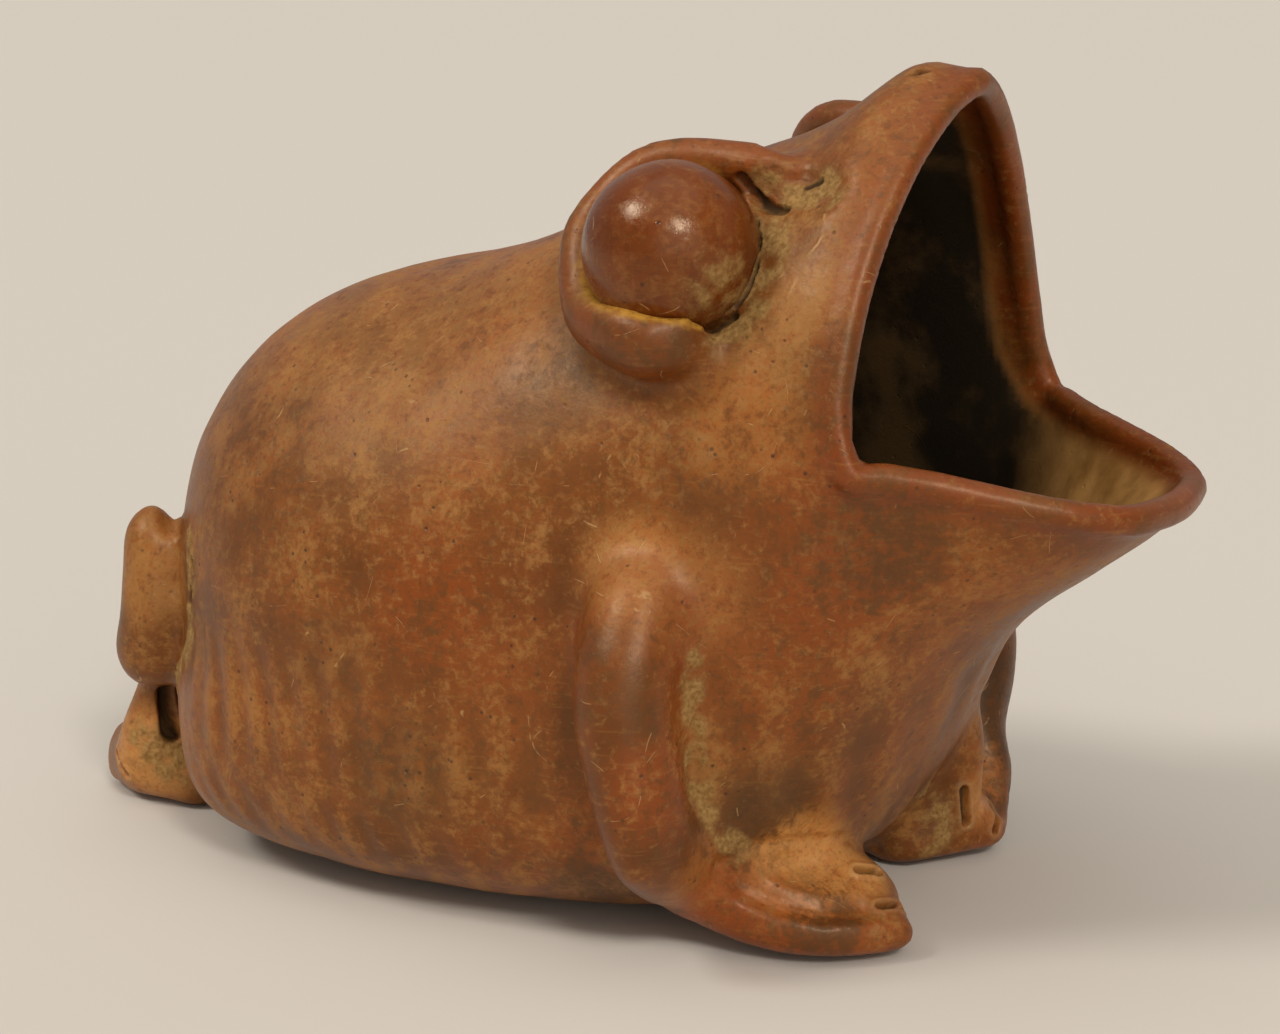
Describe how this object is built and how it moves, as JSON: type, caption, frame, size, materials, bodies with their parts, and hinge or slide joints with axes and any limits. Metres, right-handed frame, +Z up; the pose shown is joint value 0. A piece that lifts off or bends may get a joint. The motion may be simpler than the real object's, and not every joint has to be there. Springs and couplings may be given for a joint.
{
  "type": "frog effigy vessel",
  "caption": "Hollow hand-built clay vessel in the shape of a squatting frog. Its gaping mouth is the opening of the pot, and it rests on the flat soles of its feet.",
  "frame": {"origin": "on the floor, under the middle of the vessel's bounding box", "axes": "+X the way the frog faces, +Y to its left, +Z up"},
  "size_m": [0.3164, 0.1902, 0.2173],
  "materials": {
    "tan_clay": "burnished earthenware, satin, tan-brown with ochre clouds",
    "orange_clay": "burnished earthenware, satin, orange-brown",
    "red_clay": "burnished red slip, half gloss"
  },
  "bodies": {
    "root": {"belly_shell": "tan_clay", "head_shell": "orange_clay", "eyeball_right": "red_clay", "eyeball_left": "red_clay", "eyelid_right": "orange_clay", "eyelid_left": "orange_clay", "foreleg_right": "orange_clay", "foreleg_left": "orange_clay", "forefoot_right": "orange_clay", "forefoot_left": "orange_clay", "thigh_right": "orange_clay", "thigh_left": "orange_clay", "shank_right": "orange_clay", "shank_left": "orange_clay", "hindfoot_right": "orange_clay", "hindfoot_left": "orange_clay"}
  },
  "joints": []
}
